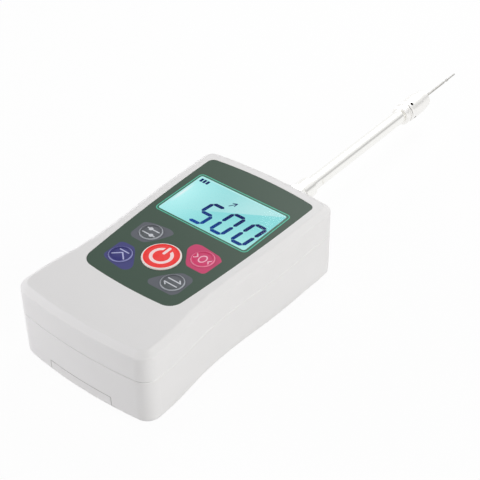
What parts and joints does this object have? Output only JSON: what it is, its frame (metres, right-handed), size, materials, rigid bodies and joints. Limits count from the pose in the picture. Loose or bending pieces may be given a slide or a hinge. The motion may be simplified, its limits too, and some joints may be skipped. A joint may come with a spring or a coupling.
{
  "type": "force gauge",
  "caption": "Handheld digital force gauge with a lit display, round keys and a battery bay, carrying a needle in a collet chuck on an extension rod.",
  "frame": {"origin": "middle of the case's flat back", "axes": "X across the case, +Y along the measuring shaft towards the needle, +Z out of the display"},
  "size_m": [0.075, 0.2939, 0.0402],
  "materials": {
    "case_plastic": "fine satin",
    "zinc_steel": "zinc plated",
    "brass": "turned",
    "film": "satin film",
    "clear_window": "clear",
    "display_glass": "lit liquid crystal",
    "light_guide": "diffuse",
    "contact_rubber": "matte",
    "white_frame": "moulded",
    "board": "solder mask",
    "dome_steel": "spring sheet",
    "black_parts": "moulded",
    "socket_shell": "drawn sheet",
    "sensor_aluminium": "milled",
    "gauge_foil": "foil on film",
    "connector_nylon": "moulded",
    "lead_grey": "ribbon",
    "battery_wrap": "sleeve",
    "key_red": "embossed film",
    "key_grey": "embossed film",
    "key_magenta": "embossed film",
    "key_blue": "embossed film",
    "polished_steel": "polished",
    "needle_steel": "ground"
  },
  "bodies": {
    "case": {"front_shell": "case_plastic", "rear_shell": "case_plastic", "case_screws": "zinc_steel", "stand_inserts": "brass", "overlay_panel": "film", "display_window": "clear_window", "lcd_glass": "display_glass", "backlight": "light_guide", "zebra_strip": "contact_rubber", "lcd_frame": "white_frame", "main_board": "board", "board_screws": "zinc_steel", "key_switches": "dome_steel", "board_chips": "black_parts", "data_jack": "black_parts", "charge_socket": "socket_shell", "cell_bracket": "sensor_aluminium", "bracket_screws": "zinc_steel", "load_cell": "sensor_aluminium", "cell_screws": "zinc_steel", "strain_gauges": "gauge_foil", "lead_connector": "connector_nylon", "cell_lead": "lead_grey", "batteries": "battery_wrap", "battery_contacts": "dome_steel"},
    "cover": {"battery_cover": "case_plastic"},
    "power_button": {"key_power": "key_red"},
    "set_button": {"key_set": "key_grey"},
    "zero_button": {"key_zero": "key_magenta"},
    "peak_button": {"key_peak": "key_blue"},
    "unit_button": {"key_unit": "key_grey"},
    "shaft": {"measuring_shaft": "polished_steel"},
    "nut": {"lock_nut": "polished_steel"},
    "rod": {"extension_rod": "polished_steel", "chuck_body": "polished_steel", "collet": "needle_steel"},
    "nose_nut": {"chuck_nut": "polished_steel"},
    "needle": {"probe_needle": "needle_steel"}
  },
  "joints": [
    {"name": "cover_slide", "type": "slide", "parent": "case", "child": "cover", "axis": [0, -1, 0], "range_m": [0, 0.062]},
    {"name": "power_press", "type": "slide", "parent": "case", "child": "power_button", "axis": [0, 0, -1], "range_m": [0, 0.0004], "stiffness_N_per_m": 2500, "springref_m": -0.0004},
    {"name": "set_press", "type": "slide", "parent": "case", "child": "set_button", "axis": [0, 0, -1], "range_m": [0, 0.0004], "stiffness_N_per_m": 2500, "springref_m": -0.0004},
    {"name": "zero_press", "type": "slide", "parent": "case", "child": "zero_button", "axis": [0, 0, -1], "range_m": [0, 0.0004], "stiffness_N_per_m": 2500, "springref_m": -0.0004},
    {"name": "peak_press", "type": "slide", "parent": "case", "child": "peak_button", "axis": [0, 0, -1], "range_m": [0, 0.0004], "stiffness_N_per_m": 2500, "springref_m": -0.0004},
    {"name": "unit_press", "type": "slide", "parent": "case", "child": "unit_button", "axis": [0, 0, -1], "range_m": [0, 0.0004], "stiffness_N_per_m": 2500, "springref_m": -0.0004},
    {"name": "load_travel", "type": "slide", "parent": "case", "child": "shaft", "axis": [0, 1, 0], "range_m": [-0.0003, 0.0003], "stiffness_N_per_m": 4000},
    {"name": "lock_nut_turn", "type": "hinge", "parent": "shaft", "child": "nut", "pos_m": [0, 0.08, 0.0158], "axis": [0, 1, 0], "range_deg": [-360, 0]},
    {"name": "rod_turn", "type": "hinge", "parent": "shaft", "child": "rod", "pos_m": [0, 0.12, 0.0158], "axis": [0, 1, 0], "range_deg": [0, 360]},
    {"name": "chuck_nut_turn", "type": "hinge", "parent": "rod", "child": "nose_nut", "pos_m": [0, 0.187, 0.0158], "axis": [0, 1, 0], "range_deg": [0, 360]},
    {"name": "needle_slide", "type": "slide", "parent": "rod", "child": "needle", "axis": [0, 1, 0], "range_m": [0, 0.035]}
  ]
}
